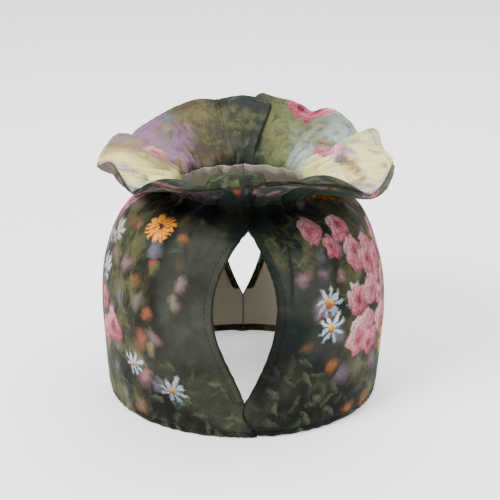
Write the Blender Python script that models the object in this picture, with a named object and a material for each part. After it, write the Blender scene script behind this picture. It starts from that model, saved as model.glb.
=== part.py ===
"""Tea cosy of padded cloth: two side panels with a slit between them at front and back,
drawn in to a neck, and a two-piece frill that flares from the neck.

Metres, +Z up, standing on its hem. The front, with the spout slit, faces -Y.
Azimuths are in degrees round the cosy's own axis, 0 at the front and growing towards +X.
"""
import math

import bpy
import numpy as np

# Cloth
PANEL_THICKNESS = 0.0030
FRILL_THICKNESS = 0.0024
SEWN_GAP = 0.0003

# The cosy's own axis, set so that the uneven frill leaves the whole box centred
AXIS_X = -0.0011
AXIS_Y = -0.0044

# Neck, where the panels and the frill are drawn in together
NECK_RADIUS = 0.0415
NECK_HEIGHT = 0.1205

# Grid of the solids
PANEL_STEP_DEGREES = 4.0
FRILL_STEP_DEGREES = 3.6
WALL_ROWS = 12
SHOULDER_ROWS = 8
SHOULDER_START = 0.100
FRILL_ROWS = 9

# Outside of the body, from hem to neck
BODY_SECTIONS = (
    # height, radius
    (0.0000, 0.0764),
    (0.0040, 0.0775),
    (0.0150, 0.0788),
    (0.0300, 0.0799),
    (0.0540, 0.0810),
    (0.0800, 0.0783),
    (0.0980, 0.0722),
    (0.1090, 0.0650),
    (0.1150, 0.0560),
    (0.1172, 0.0480),
    (0.1180, 0.0435),
    (NECK_HEIGHT, NECK_RADIUS),
)

# Sewing line of the two panels at the front, which wanders a little and slants at the hem
FRONT_SEAM = (
    # height, sideways place
    (0.0000, 0.0078),
    (0.0070, 0.0036),
    (0.0140, 0.0000),
    (0.0220, 0.0010),
    (0.0700, 0.0010),
    (0.1150, 0.0031),
    (NECK_HEIGHT, 0.0040),
)

# Slits left open in the sewing lines
SLITS = {
    # side: bottom, top, half width, where the widest place lies between them
    "front": (0.0205, 0.1150, 0.0172, 0.57),
    "back": (0.0240, 0.1040, 0.0130, 0.52),
}
SLIT_FULLNESS = 0.9

# Main folds that run down the body from the neck
BODY_FOLDS = (
    # azimuth at the top, azimuth at the bottom, bottom height, half width, height of the fold
    (18.0, 23.0, 0.078, 0.0040, -0.0022),
    (-20.0, -25.0, 0.058, 0.0045, 0.0018),
    (44.0, 48.0, 0.088, 0.0055, -0.0014),
    (-46.0, -52.0, 0.082, 0.0060, -0.0016),
    (72.0, 70.0, 0.092, 0.0055, 0.0014),
    (-78.0, -74.0, 0.086, 0.0060, 0.0016),
    (104.0, 108.0, 0.084, 0.0055, -0.0016),
    (-108.0, -106.0, 0.090, 0.0055, -0.0014),
    (136.0, 132.0, 0.080, 0.0055, 0.0016),
    (-140.0, -146.0, 0.078, 0.0055, -0.0018),
    (160.0, 158.0, 0.086, 0.0045, -0.0016),
    (-166.0, -162.0, 0.088, 0.0045, 0.0014),
)
FOLD_END_FROM_NECK = 0.008

# Small gathers next to the neck, on both sides of it, closer in some places than in others
GATHERS = 22
GATHER_DRIFTS = ((3, 1.1), (5, 0.7))
GATHER_HEIGHT = 0.0010
PANEL_GATHER_REACH = 0.014
PANEL_GATHER_START = 0.004
FRILL_GATHER_REACH = 0.28
FRILL_GATHER_START = 0.08

# Folds of the frill's two pieces: where the hemmed rim goes, and the bend of the cloth before it
FRILL_LEFT_FOLDS = (
    # azimuth, rim radius, rim height, bend radius, bend height
    (-194.0, 0.0876, 0.1445, 0.0680, 0.1368),
    (-186.0, 0.0887, 0.1461, 0.0680, 0.1376),
    (-178.0, 0.0900, 0.1482, 0.0680, 0.1390),
    (-169.5, 0.0904, 0.1467, 0.0700, 0.1368),
    (-162.0, 0.0894, 0.1475, 0.0680, 0.1385),
    (-154.0, 0.0880, 0.1455, 0.0670, 0.1380),
    (-143.0, 0.0868, 0.1408, 0.0660, 0.1370),
    (-134.0, 0.0862, 0.1366, 0.0650, 0.1330),
    (-128.0, 0.0842, 0.1350, 0.0640, 0.1310),
    (-121.0, 0.0856, 0.1366, 0.0670, 0.1365),
    (-110.0, 0.0840, 0.1338, 0.0690, 0.1370),
    (-95.0, 0.0826, 0.1300, 0.0730, 0.1330),
    (-86.0, 0.0804, 0.1335, 0.0800, 0.1270),
    (-76.0, 0.0747, 0.1389, 0.0800, 0.1270),
    (-66.0, 0.0731, 0.1365, 0.0790, 0.1260),
    (-58.0, 0.0747, 0.1348, 0.0770, 0.1270),
    (-50.0, 0.0787, 0.1340, 0.0745, 0.1300),
    (-44.0, 0.0821, 0.1338, 0.0710, 0.1350),
    (-40.0, 0.0837, 0.1367, 0.0700, 0.1390),
    (-33.0, 0.0860, 0.1425, 0.0680, 0.1450),
    (-27.0, 0.0857, 0.1421, 0.0690, 0.1432),
    (-22.0, 0.0855, 0.1420, 0.0700, 0.1406),
    (-18.0, 0.0856, 0.1422, 0.0697, 0.1439),
    (-14.5, 0.0858, 0.1425, 0.0692, 0.1484),
    (-11.0, 0.0862, 0.1434, 0.0690, 0.1602),
    (0.0, 0.0872, 0.1457, 0.0690, 0.1572),
    (12.0, 0.0864, 0.1444, 0.0690, 0.1535),
)
FRILL_RIGHT_FOLDS = (
    # azimuth, rim radius, rim height, bend radius, bend height
    (4.0, 0.0864, 0.1473, 0.0700, 0.1474),
    (16.0, 0.0855, 0.1466, 0.0700, 0.1453),
    (25.0, 0.0854, 0.1439, 0.0700, 0.1424),
    (30.0, 0.0852, 0.1424, 0.0695, 0.1462),
    (37.0, 0.0856, 0.1396, 0.0700, 0.1492),
    (44.0, 0.0852, 0.1348, 0.0740, 0.1440),
    (50.0, 0.0843, 0.1312, 0.0790, 0.1330),
    (56.0, 0.0833, 0.1301, 0.0840, 0.1235),
    (64.0, 0.0820, 0.1306, 0.0878, 0.1195),
    (76.0, 0.0816, 0.1322, 0.0895, 0.1205),
    (86.0, 0.0824, 0.1322, 0.0888, 0.1250),
    (95.0, 0.0850, 0.1320, 0.0760, 0.1330),
    (108.0, 0.0842, 0.1345, 0.0680, 0.1370),
    (119.0, 0.0882, 0.1400, 0.0670, 0.1375),
    (127.0, 0.0858, 0.1354, 0.0660, 0.1330),
    (134.0, 0.0882, 0.1402, 0.0670, 0.1370),
    (144.0, 0.0885, 0.1455, 0.0660, 0.1400),
    (151.0, 0.0866, 0.1428, 0.0650, 0.1360),
    (157.0, 0.0882, 0.1455, 0.0660, 0.1380),
    (168.0, 0.0920, 0.1493, 0.0680, 0.1380),
    (173.5, 0.0946, 0.1511, 0.0680, 0.1380),
    (178.0, 0.0965, 0.1508, 0.0680, 0.1378),
)
# How the frill leaves the neck: up, and a little outwards
NECK_RISE = 0.0080
NECK_LEAN = 0.0030

# Sewing lines of the frill's two pieces; at the back the left one laps inside the right one
FRILL_FRONT_AZIMUTH = 8.0
FRILL_BACK_AZIMUTH = 172.0
LAP_AZIMUTH = 4.0
LAP_FADE_AZIMUTH = 9.0
LAP_STEP = 0.0048
LAP_START = 0.28

PANEL_GREEN = (0.060, 0.072, 0.040, 1.0)
FRILL_GREEN = (0.190, 0.200, 0.150, 1.0)
CLOTH_ROUGHNESS = 0.85
SHARP_DEGREES = 50.0


def ease(t):
    """A smooth step from 0 to 1."""
    t = np.clip(t, 0.0, 1.0)
    return t * t * (3.0 - 2.0 * t)


def along(table, column, places):
    """A smooth curve through one column of a table, read at places along its first column."""
    xs = np.array([row[0] for row in table])
    ys = np.array([row[column] for row in table])
    slopes = np.gradient(ys, xs)
    i = np.clip(np.searchsorted(xs, places, side="right") - 1, 0, len(xs) - 2)
    step = xs[i + 1] - xs[i]
    t = np.clip((places - xs[i]) / step, 0.0, 1.0)
    start = (1 + 2 * t) * (1 - t) ** 2 * ys[i] + t * (1 - t) ** 2 * step * slopes[i]
    end = t * t * (3 - 2 * t) * ys[i + 1] - t * t * (1 - t) * step * slopes[i + 1]
    return start + end


def outward(grid, side):
    """Outward normals of a grid; its first and last columns, the sewn edges, turn to neither side."""
    across = np.gradient(grid, axis=1)
    upward = np.gradient(grid, axis=0)
    out = np.cross(across, upward) * side
    for column in (0, -1):
        x, y = grid[:, column, 0] - AXIS_X, grid[:, column, 1] - AXIS_Y
        round_axis = np.stack([-y, x, 0.0 * x], axis=-1) / np.hypot(x, y)[:, None]
        out[:, column] -= np.sum(out[:, column] * round_axis, axis=1)[:, None] * round_axis
    return out / np.linalg.norm(out, axis=2, keepdims=True)


def turned(radii, azimuths, heights):
    """Points at given radii, azimuths and heights round the cosy's axis."""
    angle = np.radians(azimuths)
    x = AXIS_X + radii * np.sin(angle)
    y = AXIS_Y - radii * np.cos(angle)
    return np.stack([x, y, heights + 0.0 * radii], axis=-1)


def body_section_stops():
    """Heights and radii of the grid's rows, evenly spaced along the wall and the shoulder."""
    sections = np.array(BODY_SECTIONS)
    lengths = np.concatenate([[0.0], np.cumsum(np.hypot(*np.diff(sections, axis=0).T))])
    table = [(run, height, radius) for run, (height, radius) in zip(lengths, BODY_SECTIONS)]
    shoulder = float(np.interp(SHOULDER_START, sections[:, 0], lengths))
    wall = np.linspace(0.0, shoulder, WALL_ROWS + 1)
    top = np.linspace(shoulder, lengths[-1], SHOULDER_ROWS + 1)[1:]
    runs = np.concatenate([wall, top])
    return along(table, 1, runs), along(table, 2, runs), lengths[-1] - runs


def slit_half_width(side, heights):
    """Half of a slit's width at each height, zero above and below it."""
    bottom, top, half_width, widest = SLITS[side]
    share = np.clip((heights - bottom) / (top - bottom), 0.0, 1.0)
    skewed = share ** (math.log(0.5) / math.log(widest))
    return half_width * np.sin(math.pi * skewed) ** SLIT_FULLNESS


def body_folds(azimuths, heights, radii, to_neck):
    """How far the folds and the neck's gathers push the cloth out at each point."""
    push = np.zeros_like(azimuths)
    for top_azimuth, low_azimuth, low_height, half_width, height in BODY_FOLDS:
        share = ease((heights - low_height) / (NECK_HEIGHT - low_height))
        line = low_azimuth + (top_azimuth - low_azimuth) * share
        away = np.radians(azimuths - line) * radii
        push += height * np.exp(-((away / half_width) ** 2)) * share
    near_neck = np.exp(-((to_neck / PANEL_GATHER_REACH) ** 2)) * ease(to_neck / PANEL_GATHER_START)
    folds = push * ease(to_neck / FOLD_END_FROM_NECK)
    return folds + GATHER_HEIGHT * near_neck * gather_wave(azimuths)


def gather_wave(azimuths):
    """An uneven wave round the neck, one crest for each small gather."""
    angle = np.radians(azimuths)
    drift = sum(size * np.sin(turns * angle) for turns, size in GATHER_DRIFTS)
    return np.cos(GATHERS * angle + drift)


def panel_grid(side):
    """Outside of one side panel as a grid of points; side is -1 for left and 1 for right."""
    heights, radii, to_neck = body_section_stops()
    front = along(FRONT_SEAM, 1, heights) + side * (slit_half_width("front", heights) + SEWN_GAP / 2)
    back = slit_half_width("back", heights) + SEWN_GAP / 2
    start = np.degrees(np.arcsin(front / radii))
    end = side * (180.0 - np.degrees(np.arcsin(back / radii)))
    columns = int(round(180.0 / PANEL_STEP_DEGREES)) + 1
    share = np.linspace(0.0, 1.0, columns)
    azimuths = start[:, None] + (end - start)[:, None] * share[None, :]
    heights, radii, to_neck = (np.repeat(v[:, None], columns, axis=1) for v in (heights, radii, to_neck))
    plain = turned(radii, azimuths, heights)
    grid = plain + outward(plain, side) * body_folds(azimuths, heights, radii, to_neck)[:, :, None]
    grid[0, :, 2] = 0.0
    grid[-1, :, 2] = NECK_HEIGHT
    return grid


def frill_grid(side):
    """Middle of one frill piece's cloth as a grid of points, from the neck to the rim."""
    t = np.linspace(0.0, 1.0, FRILL_ROWS + 1)[:, None]
    back_seam = FRILL_BACK_AZIMUTH if side > 0 else FRILL_BACK_AZIMUTH - 360.0
    seam_gap = math.degrees(SEWN_GAP / 2 / NECK_RADIUS)
    lap = LAP_AZIMUTH * ease((t - LAP_START) / (1.0 - LAP_START))
    start = FRILL_FRONT_AZIMUTH + side * seam_gap
    end = back_seam - side * (seam_gap - lap)
    columns = int(round(abs(back_seam - FRILL_FRONT_AZIMUTH) / FRILL_STEP_DEGREES)) + 1
    azimuths = start + (end - start) * np.linspace(0.0, 1.0, columns)[None, :]
    folds = FRILL_RIGHT_FOLDS if side > 0 else FRILL_LEFT_FOLDS
    rim_radius, rim_height, bend_radius, bend_height = (
        along(folds, column, azimuths) for column in (1, 2, 3, 4))
    neck_radius = NECK_RADIUS - FRILL_THICKNESS / 2
    neck_height = NECK_HEIGHT + SEWN_GAP
    weights = (1 - t) ** 3, 3 * (1 - t) ** 2 * t, 3 * (1 - t) * t * t, t ** 3
    radii = (weights[0] * neck_radius + weights[1] * (neck_radius + NECK_LEAN)
             + weights[2] * bend_radius + weights[3] * rim_radius)
    heights = (weights[0] * neck_height + weights[1] * (neck_height + NECK_RISE)
               + weights[2] * bend_height + weights[3] * rim_height)
    plain = turned(radii, azimuths, heights)
    near_neck = np.exp(-((t / FRILL_GATHER_REACH) ** 2)) * ease(t / FRILL_GATHER_START)
    past_lap = np.abs(azimuths - back_seam) - LAP_AZIMUTH
    lapped = ease(t / LAP_START) * ease(1.0 - past_lap / LAP_FADE_AZIMUTH)
    push = GATHER_HEIGHT * near_neck * gather_wave(azimuths) + side * lapped * LAP_STEP / 2
    grid = plain + outward(plain, side) * push[:, :, None]
    grid[0, :, 2] = neck_height
    return grid


def closed_sheet(name, outer, inner, colour):
    """One closed solid between two like grids, named and coloured."""
    rows, columns = outer.shape[:2]
    points = np.concatenate([outer.reshape(-1, 3), inner.reshape(-1, 3)])
    behind = rows * columns
    faces = []
    for row in range(rows - 1):
        for column in range(columns - 1):
            a = row * columns + column
            b, c, d = a + 1, a + columns + 1, a + columns
            faces.append((a, b, c, d))
            faces.append((a + behind, d + behind, c + behind, b + behind))
    border = list(range(columns))
    border += [r * columns + columns - 1 for r in range(1, rows)]
    border += [(rows - 1) * columns + c for c in range(columns - 2, -1, -1)]
    border += [r * columns for r in range(rows - 2, 0, -1)]
    for a, b in zip(border, border[1:] + border[:1]):
        faces.append((b, a, a + behind, b + behind))
    mesh = bpy.data.meshes.new(name)
    mesh.from_pydata(points.tolist(), [], faces)
    mesh.shade_smooth()
    mesh.set_sharp_from_angle(angle=math.radians(SHARP_DEGREES))
    mesh.materials.append(cloth_material(name, colour))
    solid = bpy.data.objects.new(name, mesh)
    bpy.context.collection.objects.link(solid)
    return solid


def cloth_material(name, colour):
    """A matte cloth in one colour."""
    material = bpy.data.materials.new(name)
    material.use_nodes = True
    shader = material.node_tree.nodes["Principled BSDF"]
    shader.inputs["Base Color"].default_value = colour
    shader.inputs["Roughness"].default_value = CLOTH_ROUGHNESS
    shader.inputs["Metallic"].default_value = 0.0
    return material


def make_panel(name, side):
    """A side panel, from its hem on the table up to the neck."""
    outer = panel_grid(side)
    inner = outer - outward(outer, side) * PANEL_THICKNESS
    inner[0, :, 2] = 0.0
    inner[-1, :, 2] = NECK_HEIGHT
    if side < 0:
        outer, inner = outer[:, ::-1], inner[:, ::-1]
    return closed_sheet(name, outer, inner, PANEL_GREEN)


def make_frill(name, side):
    """One of the frill's two pieces, from the neck out to its rim."""
    middle = frill_grid(side)
    half = outward(middle, side) * FRILL_THICKNESS / 2
    half[0, :, 2] = 0.0
    outer, inner = middle + half, middle - half
    if side < 0:
        outer, inner = outer[:, ::-1], inner[:, ::-1]
    return closed_sheet(name, outer, inner, FRILL_GREEN)


for old in list(bpy.data.objects):
    bpy.data.objects.remove(old, do_unlink=True)

make_panel("panel_left", -1)
make_panel("panel_right", 1)
make_frill("frill_left", -1)
make_frill("frill_right", 1)
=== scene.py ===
"""Tea cosy: padded printed side panels drawn in to a neck, with a flared frill, standing on its hem."""
import math

import bpy
import numpy as np
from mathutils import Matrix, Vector


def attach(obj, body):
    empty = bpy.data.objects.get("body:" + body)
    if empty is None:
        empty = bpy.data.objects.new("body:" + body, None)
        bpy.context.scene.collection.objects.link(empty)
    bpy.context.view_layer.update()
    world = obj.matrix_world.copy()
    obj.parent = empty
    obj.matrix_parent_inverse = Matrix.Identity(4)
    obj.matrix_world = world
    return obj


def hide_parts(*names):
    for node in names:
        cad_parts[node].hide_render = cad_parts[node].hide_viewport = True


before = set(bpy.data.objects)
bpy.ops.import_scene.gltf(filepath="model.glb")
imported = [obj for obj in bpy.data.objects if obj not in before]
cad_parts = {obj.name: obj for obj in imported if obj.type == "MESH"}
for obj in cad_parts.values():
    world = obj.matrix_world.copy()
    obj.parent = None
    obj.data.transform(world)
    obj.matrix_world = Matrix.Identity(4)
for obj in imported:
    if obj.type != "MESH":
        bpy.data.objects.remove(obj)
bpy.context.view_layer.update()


# Camera, floor and light
# A plain pale table top under soft studio light, seen from the photograph's height and distance.
# The lens is a long one, and the small shift puts the cosy where the photograph frames it.
AXIS = Vector((-0.0011, -0.0044, 0.0))
AIM_HEIGHT = 0.070
VIEW_ELEVATION = math.radians(20.5)
VIEW_DISTANCE = 0.900
METRES_A_PIXEL = 0.000573
PIXELS = 500
AIM_PIXEL = (243.0, 268.5)


def placed(name, data):
    """A new object of its own data, in the scene."""
    made = bpy.data.objects.new(name, data)
    bpy.context.collection.objects.link(made)
    return made


def new_material(name):
    """A new material, its node tree and its shader's sockets."""
    material = bpy.data.materials.new(name)
    material.use_nodes = True
    return material, material.node_tree, material.node_tree.nodes["Principled BSDF"].inputs


lens = bpy.data.cameras.new("view")
lens.sensor_width = 36.0
lens.lens = lens.sensor_width * VIEW_DISTANCE / METRES_A_PIXEL / PIXELS
lens.shift_x = (PIXELS / 2 - AIM_PIXEL[0]) / PIXELS
lens.shift_y = (AIM_PIXEL[1] - PIXELS / 2) / PIXELS
lens.clip_start = 0.05
camera = placed("view", lens)
back_off = Vector((0.0, -math.cos(VIEW_ELEVATION), math.sin(VIEW_ELEVATION)))
camera.location = AXIS + Vector((0.0, 0.0, AIM_HEIGHT)) + back_off * VIEW_DISTANCE
camera.rotation_euler = back_off.to_track_quat("Z", "Y").to_euler()
bpy.context.scene.camera = camera

FLOOR_SIZE = 6.0
FLOOR_PALE = (0.90, 0.90, 0.90, 1.0)
FLOOR_GLOW = 0.6
floor_mesh = bpy.data.meshes.new("table_top")
half = FLOOR_SIZE / 2
floor_mesh.from_pydata([(-half, -half, 0), (half, -half, 0), (half, half, 0), (-half, half, 0)], [],
                       [(0, 1, 2, 3)])
floor_material, _, sockets = new_material("table_top")
for socket, value in (("Base Color", FLOOR_PALE), ("Roughness", 0.9), ("Emission Color", FLOOR_PALE),
                      ("Emission Strength", FLOOR_GLOW)):
    sockets[socket].default_value = value
floor_mesh.materials.append(floor_material)
table_top = placed("table_top", floor_mesh)

LIT_POINT = Vector((0.0, 0.0, 0.08))
SKY_STRENGTH = 0.55
SOFT_LIGHTS = (
    # name, place, size of the light's square, power in watts
    ("key", (-0.85, -0.80, 1.25), 0.65, 48.0),
    ("fill", (1.15, -0.90, 0.60), 0.90, 9.0),
    ("top", (0.20, 0.45, 1.40), 1.00, 30.0),
)
for name, place, size, power in SOFT_LIGHTS:
    lamp = bpy.data.lights.new(name, "AREA")
    lamp.size = size
    lamp.energy = power
    light = placed(name, lamp)
    light.location = place
    light.rotation_euler = (Vector(place) - LIT_POINT).to_track_quat("Z", "Y").to_euler()
world = bpy.data.worlds.new("studio")
world.use_nodes = True
sky = world.node_tree.nodes["Background"].inputs
sky["Color"].default_value = (1.0, 1.0, 1.0, 1.0)
sky["Strength"].default_value = SKY_STRENGTH
bpy.context.scene.world = world


# Side panels
# Two halves of padded printed cloth, 3 mm thick, sewn at the front and the back with a slit left open
# in each sewing line. Each is one closed sheet: a fine grid on the panel's own sections and folds,
# with turned hems round the slits and at the foot, and its top drawn in to the neck.
PANEL_THICKNESS = 0.0030
NECK_RADIUS = 0.0415
NECK_HEIGHT = 0.1205
BODY_SECTIONS = (
    # height, radius
    (0.0000, 0.0764),
    (0.0040, 0.0775),
    (0.0150, 0.0788),
    (0.0300, 0.0799),
    (0.0540, 0.0810),
    (0.0800, 0.0783),
    (0.0980, 0.0722),
    (0.1090, 0.0650),
    (0.1150, 0.0560),
    (0.1172, 0.0480),
    (0.1180, 0.0435),
    (NECK_HEIGHT, NECK_RADIUS),
)
FRONT_SEAM = (
    # height, sideways place
    (0.0000, 0.0078),
    (0.0070, 0.0036),
    (0.0140, 0.0000),
    (0.0220, 0.0010),
    (0.0700, 0.0010),
    (0.1150, 0.0031),
    (NECK_HEIGHT, 0.0040),
)
SLITS = {
    # side: bottom, top, half width, where the widest place lies between them
    "front": (0.0205, 0.1150, 0.0172, 0.57),
    "back": (0.0240, 0.1040, 0.0130, 0.52),
}
SLIT_FULLNESS = 0.9
BODY_FOLDS = (
    # azimuth at the top, azimuth at the bottom, and in mm: bottom height, half width, height of the fold
    (18, 23, 78, 4, -2.2),
    (-20, -25, 58, 4.5, 1.8),
    (44, 48, 88, 5.5, -1.4),
    (-46, -52, 82, 6, -1.6),
    (72, 70, 92, 5.5, 1.4),
    (-78, -74, 86, 6, 1.6),
    (104, 108, 84, 5.5, -1.6),
    (-108, -106, 90, 5.5, -1.4),
    (136, 132, 80, 5.5, 1.6),
    (-140, -146, 78, 5.5, -1.8),
    (160, 158, 86, 4.5, -1.6),
    (-166, -162, 88, 4.5, 1.4),
)
GATHERS = 22
GATHER_DRIFTS = ((3, 1.1), (5, 0.7))
GATHER_HEIGHT = 0.0010
PANEL_GATHER_REACH = 0.014

BODY_CREASES = (
    # azimuth at the top, azimuth at the bottom, and in mm: top height, bottom height, half width, height
    (23, 19, 115, 70, 1.1, -3),
    (-12, -4, 112.2, 109.6, 3.6, -1.2),
    (-19, -31, 114, 56, 2.6, 2.4),
    (-27, -23, 117, 90, 1.4, -2.2),
    (-9, -16, 117, 98, 1.2, -1.2),
    (33, 40, 116, 80, 1.6, -2),
    (-58, -66, 115, 74, 1.8, -1.2),
    (62, 57, 115, 82, 1.6, -1),
    (-96, -90, 115, 76, 1.6, -1.2),
    (88, 95, 115, 70, 1.8, -1.2),
    (122, 118, 115, 82, 1.6, -1),
    (-128, -120, 115, 80, 1.6, -1.2),
    (150, 156, 115, 78, 1.6, -1.2),
    (-152, -158, 115, 86, 1.4, -1),
)

# Distances from an edge at which the grid has its first rows or columns
EDGE_STEPS = np.array([0.0, 0.00008, 0.00025, 0.0005, 0.0009, 0.0014, 0.0020, 0.0028, 0.0035, 0.0041,
                       0.0048])
PANEL_COLUMNS = 190
PANEL_ROWS = 150
SEAM_GAP = 0.000004
SEWN_ROUNDING = 0.0006
# Added to the distance from an edge that is sewn, not hemmed
NO_HEM = 0.1
HEM_WIDTH = 0.0041
HEM_FULLNESS = 0.00022
HEM_STEP_WIDTH = 0.0012
HEM_GROOVE = 0.00040
HEM_GROOVE_WIDTH = 0.0006
PUCKER_PITCH = 0.0075
PUCKER_HEIGHT = 0.00028
PUCKER_REACH = 0.006
SLIT_FLARE = 0.0016
SLIT_FLARE_REACH = 0.011
FLARE_FADE_LOW = 0.030
FLARE_FADE_HIGH = 0.020
SLIT_END = 0.004
UNEVENNESS = 0.0006
UNEVENNESS_FADE = 0.012
SEAM_DIP = 0.0008
SEAM_DIP_WIDTH = 0.0030
SEAM_DIP_FADE = 0.010
NECK_FADE = 0.006
# Where the left panel's edge lies over the right one's, near the foot
FOOT_LAP_TOP = 0.022
FOOT_LAP_FADE = 0.010
FOOT_LAP_WIDTH = 0.006
FOOT_LAP_STEP = 0.0007
# Near the neck the cloth turns level and is pressed thinner
SEWN_LEVEL_REACH = 0.0028
NECK_PRESS = 0.22
NECK_PRESS_REACH = 0.0012
TUCKS = 78
TUCK_SEED = 11
TUCK_DEPTHS = (0.0003, 0.0011)
TUCK_WIDTHS = (1.0, 2.3)
TUCK_SPREAD = 0.8
PANEL_TUCK_LENGTHS = (0.008, 0.034)
PANEL_TUCK_LEAN = 2.5
# Millimetres of cloth to a degree, at the body's widest radius of 81 mm
CLOTH_A_DEGREE = math.radians(1.0) * 81.0


def ease(t):
    """A smooth step from 0 to 1."""
    t = np.clip(t, 0.0, 1.0)
    return t * t * (3.0 - 2.0 * t)


def hill(away, width):
    """A smooth hill, 1 in its middle and nearly 0 at twice its width."""
    return np.exp(-((away / width) ** 2))


def apart(azimuths, middle):
    """Degrees from a middle azimuth, -180 to 180."""
    return (azimuths - middle + 180.0) % 360.0 - 180.0


def along(table, column, places):
    """A smooth curve through one column of a table, read at places along its first column."""
    xs = np.array([row[0] for row in table])
    ys = np.array([row[column] for row in table])
    slopes = np.gradient(ys, xs)
    i = np.clip(np.searchsorted(xs, places, side="right") - 1, 0, len(xs) - 2)
    step = xs[i + 1] - xs[i]
    t = np.clip((places - xs[i]) / step, 0.0, 1.0)
    start = (1 + 2 * t) * (1 - t) ** 2 * ys[i] + t * (1 - t) ** 2 * step * slopes[i]
    end = t * t * (3 - 2 * t) * ys[i + 1] - t * t * (1 - t) * step * slopes[i + 1]
    return start + end


def turned(radii, azimuths, heights):
    """Points at given radii, azimuths and heights round the cosy's axis."""
    angle = np.radians(azimuths)
    x, y = AXIS.x + radii * np.sin(angle), AXIS.y - radii * np.cos(angle)
    return np.stack([x, y, heights + 0 * radii], -1)


def outward(grid, side):
    """Outward normals of a grid; its first and last columns, the sewn edges, turn to neither side."""
    out = np.cross(np.gradient(grid, axis=1), np.gradient(grid, axis=0)) * side
    for column in (0, -1):
        x, y = grid[:, column, 0] - AXIS.x, grid[:, column, 1] - AXIS.y
        round_axis = np.stack([-y, x, 0.0 * x], axis=-1) / np.hypot(x, y)[:, None]
        out[:, column] -= np.sum(out[:, column] * round_axis, axis=1)[:, None] * round_axis
    return out / np.linalg.norm(out, axis=2, keepdims=True)


def stops(length, count, at_start, at_end):
    """count places along a length, close together at the ends that are asked for."""
    first = EDGE_STEPS if at_start else np.zeros(1)
    last = EDGE_STEPS if at_end else np.zeros(1)
    middle = np.linspace(0.0, 1.0, count - len(first) - len(last) + 2)[1:-1]
    length = np.asarray(length)[..., None]
    between = first[-1] + (length - first[-1] - last[-1]) * middle
    ones = np.ones_like(length)
    return np.concatenate([first * ones, between, length - last[::-1] * ones], axis=-1)


def gather_wave(azimuths):
    """An uneven wave round the neck, one crest for each small gather."""
    angle = np.radians(azimuths)
    drift = sum(size * np.sin(turns * angle) for turns, size in GATHER_DRIFTS)
    return np.cos(GATHERS * angle + drift)


def small_tucks(azimuths, from_neck, lengths, lean_most):
    """Fine tucks that run out from the neck, the same ones there in the panels and in the frill."""
    rng = np.random.default_rng(TUCK_SEED)
    push = np.zeros_like(azimuths)
    for _ in range(TUCKS):
        middle = rng.uniform(-180.0, 180.0)
        length, depth, width = rng.uniform(*lengths), rng.uniform(*TUCK_DEPTHS), rng.uniform(*TUCK_WIDTHS)
        lean = rng.uniform(-lean_most, lean_most)
        away = apart(azimuths, middle + lean * from_neck / length)
        spread = width * (1.0 + TUCK_SPREAD * from_neck / length)
        push -= depth * hill(away, spread) * hill(from_neck, length)
    return push


def sewn_in(directions, azimuths, from_neck):
    """Directions turned level near the neck, where the panels and the frill are sewn edge to edge."""
    level = turned(np.ones_like(azimuths), azimuths, np.zeros_like(azimuths)) - np.array(AXIS)
    share = hill(from_neck, SEWN_LEVEL_REACH)[:, :, None]
    mixed = directions * (1.0 - share) + level * share
    return mixed / np.linalg.norm(mixed, axis=2, keepdims=True)


def unevenness(azimuths, run, size):
    """The soft unevenness of padded cloth, a few broad waves."""
    a = np.radians(azimuths)
    waves = (np.sin(5 * a + 1.3) * np.sin(run * 38 + 0.5) + np.sin(9 * a - run * 30) * 0.7
             + np.sin(14 * a + 2.1 + run * 55) * 0.35 + np.sin(3 * a + run * 70) * 0.6)
    return size * waves / 2.0


def pressed(from_neck):
    """The share of its thickness that the cloth keeps where it is gathered into the neck."""
    return 1.0 - NECK_PRESS * hill(from_neck, NECK_PRESS_REACH)


def rounded(distance, half_thickness):
    """Half of the cloth's thickness at a distance from its turned edge, round like a hem's fold."""
    back = 1.0 - np.clip(distance / half_thickness, 0.0, 1.0)
    return half_thickness * np.sqrt(np.clip(1.0 - back * back, 0.0, 1.0))


def hem_relief(distance, run):
    """The doubled cloth of a hem, its stitched groove and the puckers along it."""
    full = HEM_FULLNESS * ease((HEM_WIDTH - distance) / HEM_STEP_WIDTH)
    groove = -HEM_GROOVE * hill(distance - HEM_WIDTH, HEM_GROOVE_WIDTH)
    wander = run / PUCKER_PITCH + 0.9 * np.sin(run * 61.0) + 0.5 * np.sin(run * 143.0)
    pucker = PUCKER_HEIGHT * np.sin(2 * math.pi * wander) * np.exp(-distance / PUCKER_REACH)
    return full + groove + pucker


def slit_half_width(side, heights):
    """Half of a slit's width at each height, zero above and below it."""
    bottom, top, half_width, widest = SLITS[side]
    share = np.clip((heights - bottom) / (top - bottom), 0.0, 1.0)
    skewed = share ** (math.log(0.5) / math.log(widest))
    return half_width * np.sin(math.pi * skewed) ** SLIT_FULLNESS


def section_at(runs):
    """Height and radius of the body's section at lengths of cloth from the hem."""
    sections = np.array(BODY_SECTIONS)
    lengths = np.concatenate([[0.0], np.cumsum(np.hypot(*np.diff(sections, axis=0).T))])
    table = [(run, *row) for run, row in zip(lengths, BODY_SECTIONS)]
    return along(table, 1, runs), along(table, 2, runs), lengths[-1]


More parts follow.
